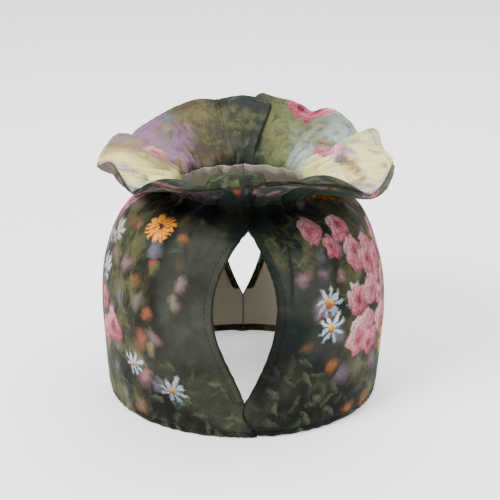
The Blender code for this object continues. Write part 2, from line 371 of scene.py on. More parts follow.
def panel_surface(side):
    """Middle of a panel's cloth, its normals, half thickness, azimuths and lengths from the hem."""
    total = section_at(np.zeros(1))[2]
    runs = stops(total, PANEL_ROWS, True, False)
    heights, radii, _ = section_at(runs)
    front = along(FRONT_SEAM, 1, heights) + side * (slit_half_width("front", heights) + SEAM_GAP)
    back = slit_half_width("back", heights) + SEAM_GAP
    start = np.arcsin(front / radii)
    end = side * (math.pi - np.arcsin(back / radii))
    across = stops(np.abs(end - start) * radii, PANEL_COLUMNS, True, True)
    azimuths = np.degrees(start[:, None] + side * across / radii[:, None])
    width = across[:, -1:]
    runs, heights, radii = (v[:, None] + 0 * across for v in (runs, heights, radii))
    to_neck = total - runs

    folds = np.zeros_like(across)
    for top_azimuth, low_azimuth, *millimetres in BODY_FOLDS:
        low_height, half_width, height = (length / 1000.0 for length in millimetres)
        share = ease((heights - low_height) / (NECK_HEIGHT - low_height))
        line = low_azimuth + (top_azimuth - low_azimuth) * share
        away = np.radians(azimuths - line) * radii
        folds += height * hill(away, half_width) * share
    folds *= ease(to_neck / NECK_FADE)
    for azimuth_top, azimuth_low, *millimetres in BODY_CREASES:
        top, low, half_width, depth = (length / 1000.0 for length in millimetres)
        share = np.clip((heights - low) / (top - low), 0.0, 1.0)
        away = np.radians(azimuths - azimuth_low - (azimuth_top - azimuth_low) * share) * radii
        held = ease((heights - low) / (0.35 * (top - low))) * ease((top - heights) / (0.25 * (top - low)))
        folds += depth * held / (1.0 + (away / half_width) ** 2)
    folds += GATHER_HEIGHT * hill(to_neck, PANEL_GATHER_REACH) * gather_wave(azimuths)
    folds += small_tucks(azimuths, to_neck, PANEL_TUCK_LENGTHS, PANEL_TUCK_LEAN)
    uneven = unevenness(azimuths, runs, UNEVENNESS) * ease(runs / UNEVENNESS_FADE)
    folds += uneven * ease(to_neck / UNEVENNESS_FADE)

    from_front, from_back = across, width - across
    joined = np.zeros_like(across)
    for key, distance in (("front", from_front), ("back", from_back)):
        bottom, top = SLITS[key][:2]
        open_here = ease((heights - bottom) / FLARE_FADE_LOW) * ease((top - heights) / FLARE_FADE_HIGH)
        folds += SLIT_FLARE * open_here * np.exp(-distance / SLIT_FLARE_REACH)
        sewn = 1.0 - ease((heights - bottom) / SLIT_END) * ease((top - heights) / SLIT_END)
        folds -= SEAM_DIP * sewn * hill(distance, SEAM_DIP_WIDTH) * ease(to_neck / SEAM_DIP_FADE)
        joined = np.maximum(joined, sewn * (distance < width / 2))
    lap_here = ease((FOOT_LAP_TOP - heights) / FOOT_LAP_FADE) * hill(from_front, FOOT_LAP_WIDTH)
    folds -= side * FOOT_LAP_STEP * lap_here

    plain = turned(radii, azimuths, heights)
    grid = plain + sewn_in(outward(plain, side), azimuths, to_neck) * folds[:, :, None]
    grid[0, :, 2] = 0.0
    grid[-1, :, 2] = NECK_HEIGHT
    normal = sewn_in(outward(grid, side), azimuths, to_neck)
    sides = np.minimum(from_front, from_back)
    hemmed = np.minimum(sides + joined * NO_HEM, runs)
    along_edge = np.where(runs < sides, np.radians(azimuths) * radii, runs)
    half = PANEL_THICKNESS / 2
    grid = grid - normal * half
    thick = np.minimum(rounded(sides + joined * SEWN_ROUNDING, half), rounded(runs, half))
    thick *= pressed(to_neck)
    from_edge = np.minimum(sides, runs + 0.0004)
    return grid, normal, thick, hem_relief(hemmed, along_edge), azimuths, runs, hemmed, from_edge


def closed_sheet(name, middle, normal, thick, relief, cut, cut_back, from_edge, flip):
    """One closed sheet from the middle of the cloth, carrying the cut cloth's own coordinates."""
    outer = middle + normal * (thick + relief)[:, :, None]
    inner = middle - normal * (thick + relief)[:, :, None]
    if flip:
        outer, inner, cut, cut_back, from_edge = (
            v[:, ::-1] for v in (outer, inner, cut, cut_back, from_edge))
    rows, columns = outer.shape[:2]
    points = np.concatenate([outer.reshape(-1, 3), inner.reshape(-1, 3)])
    points[:, 2] = np.maximum(points[:, 2], 0.0)
    behind = rows * columns
    index = np.arange(behind).reshape(rows, columns)
    a, b = index[:-1, :-1].ravel(), index[:-1, 1:].ravel()
    c, d = index[1:, 1:].ravel(), index[1:, :-1].ravel()
    front = np.stack([a, b, c, d], axis=1)
    rear = np.stack([a, d, c, b], axis=1) + behind
    border = np.concatenate([index[0], index[1:, -1], index[-1, -2::-1], index[-2:0:-1, 0]])
    following = np.roll(border, -1)
    rim = np.stack([following, border, border + behind, following + behind], axis=1)
    mesh = bpy.data.meshes.new(name)
    mesh.from_pydata(points, [], np.concatenate([front, rear, rim]).tolist())
    held = mesh.attributes.new("cut", "FLOAT_VECTOR", "POINT")
    held.data.foreach_set("vector", np.concatenate([cut.reshape(-1, 3), cut_back.reshape(-1, 3)]).ravel())
    # Distance from the nearest edge in mm, which the print reads for its painted shade along the edges.
    distance = mesh.attributes.new("from_edge", "FLOAT", "POINT")
    distance.data.foreach_set("value", np.tile(from_edge.ravel() * 1000.0, 2))
    mesh.shade_smooth()
    return placed(name, mesh)


class Ink:
    """A socket of a cloth's node tree. Sums and products of sockets add their Math nodes."""

    def __init__(self, tree, socket=None):
        self.tree = tree
        self.socket = socket

    def node(self, kind, settings=None, inputs=None, output=0):
        made = self.tree.nodes.new(kind)
        for name, value in (settings or {}).items():
            if name == "stops":
                marks = made.color_ramp.elements
                while len(marks) < len(value):
                    marks.new(0.5)
                for element, (place, *colour) in zip(marks, value):
                    element.position = place
                    element.color = rgb(*colour)
            else:
                setattr(made, name, value)
        for name, value in (inputs or {}).items():
            if isinstance(value, Ink):
                self.tree.links.new(value.socket, made.inputs[name])
            else:
                made.inputs[name].default_value = value
        return Ink(self.tree, made.outputs[output])

    def maths(self, operation, *values):
        return self.node("ShaderNodeMath", {"operation": operation}, dict(enumerate((self,) + values)))

    def __add__(self, other):
        return self.maths("ADD", other)

    __radd__ = __add__

    def __mul__(self, other):
        return self.maths("MULTIPLY", other)

    __rmul__ = __mul__

    def __sub__(self, other):
        return self.maths("SUBTRACT", other)

    def __rsub__(self, other):
        return self.node("ShaderNodeMath", {"operation": "SUBTRACT"}, {0: other, 1: self})

    def __truediv__(self, other):
        return self.maths("DIVIDE", other)

    def __pow__(self, other):
        return self.maths("POWER", other)

    def between(self, low, high):
        """0 at low and below, 1 at high and above, smooth between them."""
        return self.node("ShaderNodeMapRange", {"interpolation_type": "SMOOTHSTEP"},
                         {"Value": self, "From Min": low, "From Max": high, "To Min": 0.0, "To Max": 1.0})

    def vector(self, operation, other=None, scale=None):
        inputs = {0: self}
        if other is not None:
            inputs[1] = other
        if scale is not None:
            inputs["Scale"] = scale
        return self.node("ShaderNodeVectorMath", {"operation": operation}, inputs)

    def over(self, under, colour):
        """colour laid over under, where this mask is 1."""
        return self.node("ShaderNodeMix", {"data_type": "RGBA"}, {0: self, 6: under, 7: colour}, 2)

    def noise(self, scale, detail=3.0, roughness=0.55, distortion=0.0, output=0):
        """Noise on this vector, scale in turns to the millimetre."""
        inputs = {"Vector": self, "Scale": scale, "Detail": detail, "Roughness": roughness,
                  "Distortion": distortion}
        return self.node("ShaderNodeTexNoise", {"noise_dimensions": "2D"}, inputs, output)

    def part(self, which):
        """One of a vector's or a colour's three parts."""
        return self.node("ShaderNodeSeparateXYZ", {}, {0: self}, which)


def rgb(red, green, blue):
    """A colour given as it looks on a screen, 0 to 255, as the linear values a shader needs."""
    return tuple((v / 255.0) ** 2.2 for v in (red, green, blue)) + (1.0,)


def scattered(paint, cut, pitch, jitter, shift):
    """One motif's scatter: each point's offset from its motif's middle, that middle, and three numbers."""
    moved = cut.vector("ADD", (shift, shift * 0.37, 0.0))
    settings = {"voronoi_dimensions": "2D", "feature": "F1"}
    inputs = {"Vector": moved, "Scale": 1.0 / pitch, "Randomness": jitter}
    middle = paint.node("ShaderNodeTexVoronoi", settings, inputs, "Position")
    chance = paint.node("ShaderNodeTexVoronoi", settings, inputs, "Color")
    offset = moved.vector("SUBTRACT", middle)
    place = middle.vector("SUBTRACT", (shift, shift * 0.37, 0.0))
    return offset, place, chance.part(0), chance.part(1), chance.part(2)


def patchy(place, patches):
    """How densely a motif grows at a place: 1 in the middle of a patch, 0 outside them all.

    Each patch has its middle across and up the cut cloth, and its reach both ways, in millimetres.
    """
    x, y = place.part(0), place.part(1)
    thick = None
    for middle_x, middle_y, reach_x, reach_y in patches:
        away = ((x - middle_x) / reach_x) ** 2.0 + ((y - middle_y) / reach_y) ** 2.0
        here = away.between(1.25, 0.45)
        thick = here if thick is None else thick.maths("MAXIMUM", here)
    return thick


def ramp(paint, value, *stops):
    """A colour from a few stops along a value: each a place from 0 to 1, then red, green and blue."""
    return paint.node("ShaderNodeValToRGB", {"stops": stops}, {0: value})


def polar(offset, size, turn):
    """A motif's own radius, 1 at its size, and its own angle in radians."""
    x, y = offset.part(0), offset.part(1)
    return ((x * x + y * y) ** 0.5) / size, y.maths("ARCTAN2", x) + turn * 6.28


BLOSSOM_RINGS = (
    # reach of the ring of petals, petals in it, turn, how far the petals part, light
    (1.00, 5.0, 0.0, 0.20, 0.02),
    (0.80, 5.0, 0.9, 0.18, 0.10),
    (0.60, 4.0, 2.2, 0.16, 0.12),
    (0.41, 3.0, 0.6, 0.14, 0.00),
    (0.24, 3.0, 2.6, 0.12, -0.16),
)


def double_blossoms(paint, cut, under, patches, shift, fine):
    """Full pink blossoms: rings of round petals, light at their rims and deep where they overlap."""
    offset, place, first, second, third = scattered(paint, cut, 20.5, 0.72, shift)
    radius, angle = polar(offset, first * 4.6 + 6.6, second)
    radius = radius + (fine - 0.5) * 0.20
    lit = offset.part(1) * 0.024 - offset.part(0) * 0.016 + (fine - 0.5) * 0.30
    lit = lit + third * 0.16 + second * 0.22 - 0.14
    colour = under
    shown = patchy(place, patches) - third
    shown = shown.between(0.0, 0.08) * (first.between(0.0, 0.5) * 0.35 + 0.65)
    for reach, petals, turn, parting, brightness in BLOSSOM_RINGS:
        curve = (angle * (petals / 2.0) + turn + first * 6.0).maths("COSINE").maths("ABSOLUTE")
        rim = (curve ** 0.7) * parting * reach + reach * (1.0 - parting * 0.6)
        inside = (rim - radius).between(0.0, 0.17 * reach ** 2 + 0.06)
        height = (radius / rim) ** 2.2
        light = height * 0.44 + (curve ** 0.5) * 0.20 + lit + brightness
        petal = ramp(paint, light, (0.06, 80, 30, 40), (0.30, 138, 64, 80),
                     (0.52, 180, 104, 120), (0.74, 208, 150, 158), (0.96, 232, 204, 202))
        petal = (second * 0.6 - 0.05).over(petal, rgb(124, 84, 86))
        shadow = (rim - radius).between(-0.13, 0.02) * 0.55
        if reach < 1.0:
            colour = (shadow * shown).over(colour, rgb(112, 44, 54))
        colour = (inside * shown).over(colour, petal)
    return colour


def rayed_flowers(paint, cut, under, patches, shift, fine):
    """Orange flowers with many narrow petals round a dark middle, seen a little from the side."""
    offset, place, first, second, third = scattered(paint, cut, 34.0, 0.6, shift)
    lean = offset.vector("MULTIPLY", (1.0, 1.4, 1.0)).vector("ADD", (0.0, 1.5, 0.0))
    radius, angle = polar(lean, first * 4.0 + 12.8, second)
    wave = (angle * 8.0 + (angle * 3.0).maths("SINE") * 1.2).maths("COSINE").maths("ABSOLUTE")
    inner = (angle * 6.0 + 1.0).maths("COSINE").maths("ABSOLUTE")
    light = (wave ** 0.6) * 0.50 + radius * 0.28 + (fine - 0.5) * 0.6
    colour = ramp(paint, light, (0.12, 92, 40, 14), (0.40, 176, 88, 22),
                  (0.66, 216, 136, 38), (0.98, 236, 184, 84))
    middle_petals = (inner * 0.28 + 0.38 - radius).between(-0.03, 0.05)
    colour = middle_petals.over(colour, ramp(
        paint, inner * 0.7 + fine * 0.4, (0.3, 120, 48, 18), (0.9, 230, 150, 52)))
    colour = (radius.between(0.26, 0.14)).over(colour, rgb(72, 36, 20))
    edge = (wave ** 0.5) * 0.34 + (fine - 0.5) * 0.4 + 0.66
    shown = (edge - radius).between(0.0, 0.26) * (patchy(place, patches) - third).between(0.0, 0.08)
    return (shown * (second * 0.3 + 0.7)).over(under, colour)


def star_flowers(paint, cut, under, patches, shift, fine):
    """White flowers shaded with blue, their petals apart, round a small ochre middle."""
    offset, place, first, second, third = scattered(paint, cut, 22.0, 0.65, shift)
    radius, angle = polar(offset, first * 3.2 + 7.8, second)
    wave = (angle * 4.0 + (angle * 2.0).maths("SINE") * 0.5).maths("COSINE").maths("ABSOLUTE")
    light = wave * 0.62 + radius * 0.12 + (fine - 0.5) * 0.8 + offset.part(1) * 0.03
    colour = ramp(paint, light, (0.10, 62, 74, 92), (0.45, 126, 142, 162),
                  (0.95, 210, 212, 206))
    colour = radius.between(0.30, 0.20).over(colour, ramp(
        paint, offset.part(1) * 0.3 + 0.5, (0.1, 134, 72, 26), (0.9, 238, 178, 76)))
    edge = (wave ** 0.8) * 0.62 + (fine - 0.5) * 0.3 + 0.40
    shown = (edge - radius).between(-0.02, 0.36) * (patchy(place, patches) - third).between(0.0, 0.08)
    return (shown * (second * 0.5 + 0.42)).over(under, colour)


def far_blooms(paint, cut, under, patches, shift, fine):
    """Blurred blooms further off in the painted garden, faint and broken at their edges."""
    offset, place, first, second, third = scattered(paint, cut, 15.0, 0.95, shift)
    radius, angle = polar(offset, first * 4.5 + 4.5, second)
    radius = radius + (fine - 0.5) * 0.9 + (angle * 2.0).maths("COSINE") * 0.10
    colour = ramp(paint, second, (0.0, 150, 74, 78), (0.25, 150, 96, 52),
                  (0.45, 90, 104, 118), (0.65, 160, 110, 112), (0.80, 104, 84, 106),
                  (1.0, 134, 126, 78))
    lit = (offset.part(1) * 0.05 - offset.part(0) * 0.03 + fine * 0.5 + 0.55).maths("MAXIMUM", 0.25)
    colour = colour.vector("SCALE", scale=lit)
    shown = radius.between(1.05, 0.10) * (patchy(place, patches) - third).between(0.0, 0.3)
    return (shown * (fine * 0.7 + 0.30)).over(under, colour)


def leaves(paint, cut, pitch, shift, leaning, long, broad, ragged):
    """A scatter of leaves: each leaf's middle, how far inside it a point lies, the place across it."""
    offset, place, first, second, third = scattered(paint, cut, pitch, 1.0, shift)
    lean = first * leaning - leaning / 2
    x, y = offset.part(0), offset.part(1)
    lengthwise = x * lean.maths("SINE") + y * lean.maths("COSINE")
    crosswise = x * lean.maths("COSINE") - y * lean.maths("SINE")
    leaf = 1.0 - ((lengthwise / long) ** 2.0 + (crosswise / broad) ** 2.0) + ragged
    return place, leaf, crosswise, second, third


def foliage(paint, flat, cut, under, patches, shift, fine):
    """Leaves and fine grass in loose strokes, in an olive haze over the dark ground."""
    grown = patchy(flat, patches)
    mass = cut.noise(0.055, 4.0, 0.62)
    under = (mass.between(0.42, 0.66) * grown * (fine * 0.6 + 0.35)).over(under, rgb(84, 82, 54))
    for step, long, broad in ((0.0, 5.4, 1.9), (67.0, 4.2, 1.3)):
        place, leaf, crosswise, second, third = leaves(
            paint, cut, 7.5, shift + step, 2.6, long, broad, (fine - 0.5) * 1.2)
        shown = leaf.between(-0.1, 1.0) * (patchy(place, patches) - second).between(0.0, 0.2)
        colour = ramp(paint, third + crosswise * 0.12, (0.0, 20, 26, 15), (0.55, 50, 54, 32),
                      (1.0, 86, 88, 54))
        under = (shown * (fine * 0.6 + 0.10)).over(under, colour)
    x, y = flat.part(0), flat.part(1)
    swayed = x + y * 0.25 + (y * 0.06).maths("SINE") * 5.0
    bent = paint.node("ShaderNodeCombineXYZ", {}, {0: swayed, 1: y * 0.16})
    blades = bent.noise(0.55, 3.0, 0.6, 0.8)
    grass = blades.between(0.52, 0.74) * grown * 0.26
    return grass.over(under, rgb(92, 92, 62))


def shaded_leaves(paint, cut, under, patches, shift, fine):
    """Grey-green leaves that half show in the garden's shade."""
    place, leaf, crosswise, second, third = leaves(
        paint, cut, 9.5, shift, 3.0, 6.8, 2.3, (fine - 0.5) * 1.4)
    shown = leaf.between(0.0, 1.0) * (patchy(place, patches) - second * 0.6).between(0.0, 0.3)
    colour = ramp(paint, third + crosswise * 0.16, (0.0, 20, 28, 21), (0.6, 50, 58, 44),
                  (1.0, 78, 80, 60))
    return (shown * (fine * 0.8 + 0.15)).over(under, colour)


WEAVE_PITCH = 0.62
WEAVE_STRENGTH = 0.10
WEAVE_DEPTH = 0.0002


def printed_cloth(name, ground, patches, shift):
    """Matte printed cloth: a painted garden of generic blossoms and leaves on a soft ground."""
    material, tree, sockets = new_material(name)
    paint = Ink(tree)
    raw = paint.node("ShaderNodeAttribute", {"attribute_name": "cut"}, {}, "Vector")
    flat = raw.vector("MULTIPLY", (1.0, 1.0, 0.0))
    back = raw.part(2)
    place = flat
    if "outer_start" in patches:
        aside = (1.0 - back) * patches["outer_start"]
        flat = flat.vector("ADD", paint.node("ShaderNodeCombineXYZ", {}, {0: aside}))
    broad = flat.noise(0.09, 2.0, output=1).vector("SUBTRACT", (0.5, 0.5, 0.5))
    brush = flat.noise(0.5, 3.0, output=1).vector("SUBTRACT", (0.5, 0.5, 0.5))
    cut = flat.vector("ADD", broad.vector("SCALE", scale=7.0))
    cut = cut.vector("ADD", brush.vector("SCALE", scale=2.2)).vector("MULTIPLY", (1.0, 1.0, 0.0))
    fine = cut.noise(0.75, 4.0, 0.65)

    colour = ground(paint, place, cut, back)
    colour = far_blooms(paint, cut, colour, patches["far"], shift + 53.0, fine)
    colour = foliage(paint, flat, cut, colour, patches["leaf"], shift + 41.0, fine)
    for motif, key, aside in ((shaded_leaves, "shade", 97.0), (star_flowers, "star", 29.0),
                              (double_blossoms, "pink", 3.0), (rayed_flowers, "orange", 17.0),
                              (double_blossoms, "pink", 71.0)):
        colour = motif(paint, cut, colour, patches[key], shift + aside, fine)

    bristles = flat.vector("MULTIPLY", (1.0, 0.3, 1.0)).noise(1.1, 3.0, 0.6, 0.6)
    tone = (bristles - 0.5) * 0.42 + (fine - 0.5) * 0.35 + 1.0
    colour = colour.vector("SCALE", scale=tone)
    # Painted shade: the colour darkens over the last 0.75 mm towards every edge and seam, standing for the
    # shadow in the cloth's folded edge.
    from_edge_mm = paint.node("ShaderNodeAttribute", {"attribute_name": "from_edge"}, {}, "Fac")
    shade = from_edge_mm.between(0.1, 0.75) * 0.62 + 0.38
    # Inner faces take the plain reverse, darkened as painted shade, with a faint show-through of the print.
    if "shaded_reverse" in patches:
        plain = (bristles * 0.12 + 0.05).over(patches["shaded_reverse"], colour)
        colour = back.over(colour, plain)
    colour = colour.vector("SCALE", scale=shade)
    tree.links.new(colour.socket, sockets["Base Color"])

    # Fine plain weave
    x, y = (flat.part(i) * (2 * math.pi / WEAVE_PITCH) for i in (0, 1))
    weave = x.maths("SINE") * y.maths("SINE") + flat.noise(1.6, 2.0) * 0.8
    bump = paint.node("ShaderNodeBump", {},
                      {"Strength": WEAVE_STRENGTH, "Distance": WEAVE_DEPTH, "Height": weave})
    tree.links.new(bump.socket, sockets["Normal"])
    for socket, value in (("Roughness", 0.80), ("Specular IOR Level", 0.12), ("Sheen Weight", 0.03),
                          ("Sheen Roughness", 0.5)):
        sockets[socket].default_value = value
    return material


def body_ground(paint, place, cut, back):
    """Dark garden shade: bottle green and brown, with a greyer, lighter haze here and there, and a painted
    sheen.
    """
    broad = place.noise(0.016, 2.0, 0.5)
    middling = cut.noise(0.05, 3.0, 0.55)
    fine = cut.noise(0.16, 4.0, 0.6)
    colour = ramp(paint, middling * 0.7 + fine * 0.3, (0.34, 9, 11, 8), (0.50, 19, 22, 16),
                  (0.62, 34, 36, 26), (0.74, 56, 54, 40))
    teal = place.vector("ADD", (310.0, 90.0, 0.0)).noise(0.022, 2.0, 0.5).between(0.50, 0.64)
    colour = (teal * 0.6).over(colour, rgb(17, 31, 30))
    haze = broad.between(0.48, 0.66) * (fine * 0.5 + 0.15)
    colour = haze.over(colour, rgb(62, 62, 52))
    # Painted sheen: a lighter patch either side of the front slit stands for light on the cloth; its sharp
    # top edge under the dart is the painted shadow of the fold above.
    x, y = place.part(0), place.part(1)
    lit_below_dart = (116.0 - x * 0.28 - y + (fine - 0.5) * 4.0).between(-1.5, 2.5)
    painted_sheen = patchy(place, ((-29.0, 92.0, 24.0, 50.0), (38.0, 96.0, 20.0, 30.0)))
    painted_sheen = painted_sheen * (middling * 0.8 + 0.08) * lit_below_dart
    return painted_sheen.over(colour, rgb(60, 61, 54))


PANEL_PATCHES = {
    # motif: its patches
    "pink": ((66, 110, 22, 20), (104, 74, 32, 36), (70, 42, 24, 16), (205, 100, 34, 40),
             (-98, 54, 18, 20), (-140, 118, 26, 20), (-214, 56, 26, 30)),
    "orange": ((100, 132, 26, 16), (120, 26, 22, 18), (176, 112, 30, 24),
               (-64, 108, 24, 20), (-124, 34, 22, 18), (-180, 60, 34, 22), (-225, 116, 20, 24)),
    "star": ((56, 74, 18, 16), (150, 48, 26, 26), (230, 46, 24, 24),
             (-112, 96, 24, 22), (-56, 26, 26, 20), (-190, 112, 30, 26)),
    "far": ((92, 80, 66, 90), (-88, 80, 66, 90), (200, 80, 60, 80), (-200, 80, 60, 80)),
    "leaf": ((114, 66, 56, 84), (-110, 62, 54, 84), (215, 70, 50, 110), (-215, 70, 50, 110),
             (36, 112, 22, 20)),
    "shade": ((44, 20, 40, 34), (-40, 16, 44, 30), (60, 120, 30, 26), (-50, 122, 30, 22)),
    # The cloth's plain pale reverse, painted darker than it is as shade for the inside of the cosy.
    "shaded_reverse": rgb(146, 141, 126),
}

STITCH_PITCH = 0.0028
STITCH_LENGTH = 0.0019
STITCH_WIDTH = 0.0004
STITCH_LEAN = 0.12
STITCH_SEED = 7
# The row or column of the sheet's grid that lies on the hem's stitched groove
GROOVE = 9


def stitch_rows():
    """Geometry Nodes that lay one sewn stitch at each step of a path, flat on the cloth."""
    tree = bpy.data.node_groups.new("stitch_rows", "GeometryNodeTree")
    for label, kind in (("Path", "Geometry"), ("Pitch", "Float"), ("Length", "Float"),
                        ("Width", "Float"), ("Seed", "Int"), ("Thread", "Material")):
        tree.interface.new_socket(label, in_out="INPUT", socket_type="NodeSocket" + kind)
    tree.interface.new_socket("Stitches", in_out="OUTPUT", socket_type="NodeSocketGeometry")
    asked = tree.nodes.new("NodeGroupInput").outputs
    sew = Ink(tree)
    pitch, length, width, seed = (
        Ink(tree, asked[label]) for label in ("Pitch", "Length", "Width", "Seed"))
    path = sew.node("GeometryNodeMeshToCurve", {}, {"Mesh": Ink(tree, asked["Path"])})
    spaced = sew.node("GeometryNodeResampleCurve", {"mode": "LENGTH"}, {"Curve": path, "Length": pitch})
    forward = sew.node("GeometryNodeInputTangent")
    up = sew.node("GeometryNodeInputNamedAttribute", {"data_type": "FLOAT_VECTOR"}, {"Name": "up"})
    turn = sew.node("FunctionNodeAlignRotationToVector", {"axis": "X"}, {"Vector": forward})
    turn = sew.node("FunctionNodeAlignRotationToVector", {"axis": "Z", "pivot_axis": "X"},
                    {"Rotation": turn, "Vector": up})
    lean = sew.node("FunctionNodeRandomValue", {"data_type": "FLOAT_VECTOR"},
                    {"Min": (0.0, 0.0, -STITCH_LEAN), "Max": (0.0, 0.0, STITCH_LEAN), "Seed": seed})
    turn = sew.node("FunctionNodeRotateRotation", {"rotation_space": "LOCAL"}, {0: turn, 1: lean})
    size = sew.node("ShaderNodeCombineXYZ", {}, {0: length * 0.5, 1: width * 0.5, 2: width * 0.4})
    bead = sew.node("GeometryNodeMeshUVSphere", {}, {"Segments": 8, "Rings": 5, "Radius": 1.0})
    laid = sew.node("GeometryNodeInstanceOnPoints", {},
                    {"Points": spaced, "Instance": bead, "Rotation": turn, "Scale": size})
    whole = sew.node("GeometryNodeRealizeInstances", {}, {0: laid})
    whole = sew.node("GeometryNodeSetShadeSmooth", {}, {0: whole})
    whole = sew.node("GeometryNodeSetMaterial", {},
                     {"Geometry": whole, "Material": Ink(tree, asked["Thread"])})
    tree.links.new(whole.socket, tree.nodes.new("NodeGroupOutput").inputs["Stitches"])
    return tree


def sewn_thread():
    """Dark green sewing thread, twisted, a little lighter here and there."""
    material, tree, sockets = new_material("sewing_thread")
    paint = Ink(tree)
    place = paint.node("ShaderNodeTexCoord", {}, {}, "Object")
    x, y, z = (place.part(i) for i in range(3))
    tone = paint.node("ShaderNodeCombineXYZ", {}, {0: x + z, 1: y - z}).noise(900.0, 2.0)
    colour = ramp(paint, tone, (0.3, 10, 12, 9), (0.7, 27, 30, 22))
    strands = ((x + y + z) * 9000.0).maths("SINE")
    bump = paint.node("ShaderNodeBump", {}, {"Strength": 0.4, "Distance": 0.00005, "Height": strands})
    tree.links.new(colour.socket, sockets["Base Color"])
    tree.links.new(bump.socket, sockets["Normal"])
    sockets["Roughness"].default_value = 0.85
    sockets["Specular IOR Level"].default_value = 0.06
    return material


def stitched(name, lines, rows, thread):
    """The stitches of one piece along lines of points, each with the cloth's outward directions there."""
    points = np.concatenate([line for line, _ in lines])
    ups = np.concatenate([up for _, up in lines])
    starts = np.cumsum([0] + [len(line) for line, _ in lines])
    edges = [(i, i + 1) for first, last in zip(starts, starts[1:]) for i in range(first, last - 1)]
    mesh = bpy.data.meshes.new(name)
    mesh.from_pydata(points, edges, [])
    mesh.attributes.new("up", "FLOAT_VECTOR", "POINT").data.foreach_set("vector", ups.ravel())
    piece = placed(name, mesh)
    modifier = piece.modifiers.new("stitches", "NODES")
    modifier.node_group = rows
    wanted = {"Pitch": STITCH_PITCH, "Length": STITCH_LENGTH, "Width": STITCH_WIDTH,
              "Seed": STITCH_SEED, "Thread": thread}
    for item in rows.interface.items_tree:
        if item.in_out == "INPUT" and item.name in wanted:
            modifier[item.identifier] = wanted[item.name]
    evaluated = piece.evaluated_get(bpy.context.evaluated_depsgraph_get())
    sewn = bpy.data.meshes.new_from_object(evaluated)
    piece.modifiers.clear()
    piece.data = sewn
    sewn.name = name
    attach(piece, "root")
    return piece


def on_both_faces(middle, normal, lift, cuts):
    """Lines along the grid on the cloth's two faces, with the directions away from the cloth."""
    for cut in cuts:
        for face in (1.0, -1.0):
            up = normal[cut] * face
            yield middle[cut] + up * lift[cut][:, None], up


thread = sewn_thread()
rows_of_stitches = stitch_rows()
panel_print = printed_cloth("panel_print", body_ground, PANEL_PATCHES, 260.0)
for name, side in (("panel_left", -1), ("panel_right", 1)):
    middle, normal, thick, relief, azimuths, runs, hemmed, from_edge = panel_surface(side)
    cut = np.stack([azimuths * CLOTH_A_DEGREE, runs * 1000.0, 0.0 * runs], axis=-1)
    cut_back = cut + np.stack([0.0 * runs, 0.0 * runs, ease((hemmed - HEM_WIDTH) / 0.0003)], axis=-1)
    piece = closed_sheet(name + "_cloth", middle, normal, thick, relief, cut, cut_back, from_edge, side < 0)
    piece.data.materials.append(panel_print)
    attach(piece, "root")
    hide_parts(name)
    cuts = [(GROOVE, slice(GROOVE, -GROOVE))]
    for key, column in (("front", GROOVE), ("back", -GROOVE - 1)):
        bottom, top = SLITS[key][:2]
        heights = middle[:, column, 2]
        opened = np.nonzero((heights > bottom + HEM_WIDTH) & (heights < top - HEM_WIDTH))[0]
        cuts.append((slice(opened[0], opened[-1] + 1), column))
    lines = list(on_both_faces(middle, normal, thick + relief, cuts))
    stitched(name + "_stitches", lines, rows_of_stitches, thread)


# Frill
# Two pieces of doubled printed cloth, gathered into the neck and hemmed at the rim, where they stand
# and roll in uneven folds. The right one tucks a little under the left at the front, and at the back
# the left one laps inside the right.
FRILL_THICKNESS = 0.0024
FRILL_LEFT_FOLDS = (
    # azimuth, and in mm: rim radius, rim height, bend radius, bend height
    (-194, 87.6, 144.5, 68, 136.8),
    (-186, 88.7, 146.1, 68, 137.6),
    (-178, 90, 148.2, 68, 139),
    (-169.5, 90.4, 146.7, 70, 136.8),
    (-162, 89.4, 147.5, 68, 138.5),
    (-154, 88, 145.5, 67, 138),
    (-143, 86.8, 140.8, 66, 137),
    (-134, 86.2, 136.6, 65, 133),
    (-128, 84.2, 135, 64, 131),
    (-121, 85.6, 136.6, 67, 136.5),
    (-110, 84, 133.8, 69, 137),
    (-95, 82.6, 130, 73, 133),
    (-86, 80.4, 133.5, 80, 127),
    (-76, 74.7, 138.9, 80, 127),
    (-66, 73.1, 136.5, 79, 126),
    (-58, 74.7, 134.8, 77, 127),
    (-50, 78.7, 134, 74.5, 130),
    (-44, 82.1, 133.8, 71, 135),
    (-40, 83.7, 136.7, 70, 139),
    (-33, 86, 142.5, 68, 145),
    (-27, 85.7, 142.1, 69, 143.2),
    (-22, 85.5, 142, 70, 140.6),
    (-18, 85.6, 142.2, 69.7, 143.9),
    (-14.2, 85.8, 142.5, 69.2, 146.2),
    (-12.2, 86.1, 143.3, 69, 155.6),
    (-9, 86.4, 143.8, 69, 157),
    (0, 87.2, 145.7, 69, 157),
    (12, 86.4, 144.4, 69, 155.8),
)
